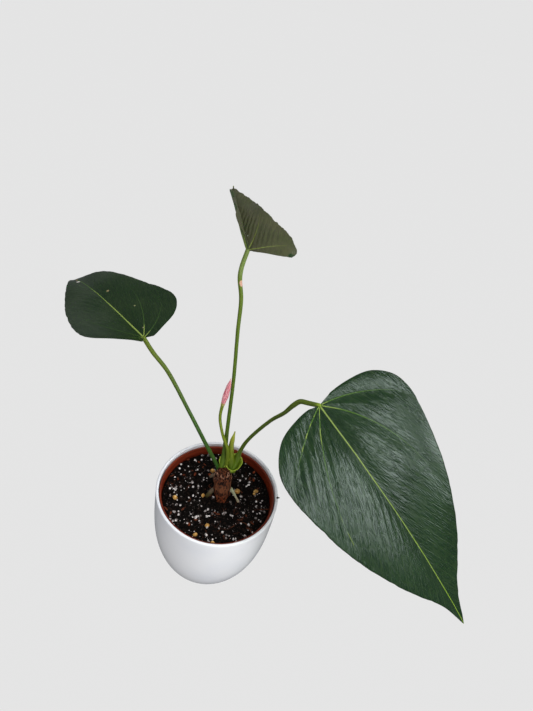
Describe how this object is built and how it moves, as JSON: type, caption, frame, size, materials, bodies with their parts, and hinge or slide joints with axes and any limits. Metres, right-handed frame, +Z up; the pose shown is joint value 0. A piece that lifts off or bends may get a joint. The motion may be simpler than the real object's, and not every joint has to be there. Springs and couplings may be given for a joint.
{
  "type": "potted flamingo flower",
  "caption": "Young potted flamingo flower: heart-shaped leaves on long petioles, a rolled pink bud and a new shoot, in a plastic nursery pot inside a white glazed cachepot.",
  "frame": {"origin": "centre of the cachepot's flat underside, on the surface that the pot stands on", "axes": "+Z up, +X to the right of the plant and +Y behind it, as the picture looks at it"},
  "size_m": [0.4931, 0.3196, 0.3951],
  "materials": {
    "glaze": "glossy",
    "terracotta_plastic": "satin",
    "mix": "rough and damp, with pale grains",
    "woody_stem": "rough, scarred",
    "aerial_root": "matt",
    "petiole": "waxy",
    "old_leaf": "glossy, waxy, finely wrinkled",
    "young_leaf": "glossy",
    "fresh_shoot": "waxy",
    "pink_spathe": "waxy"
  },
  "bodies": {
    "root": {"cachepot": "glaze", "nursery_pot": "terracotta_plastic", "potting_mix": "mix", "stem": "woody_stem", "aerial_root_left": "aerial_root", "aerial_root_right": "aerial_root", "aerial_root_nub": "aerial_root", "petiole_left": "petiole", "petiole_middle": "petiole", "petiole_right": "petiole", "leaf_left": "old_leaf", "leaf_top": "young_leaf", "leaf_right": "old_leaf", "new_shoot": "fresh_shoot", "flower_stalk": "fresh_shoot", "flower_bud": "pink_spathe"}
  },
  "joints": []
}
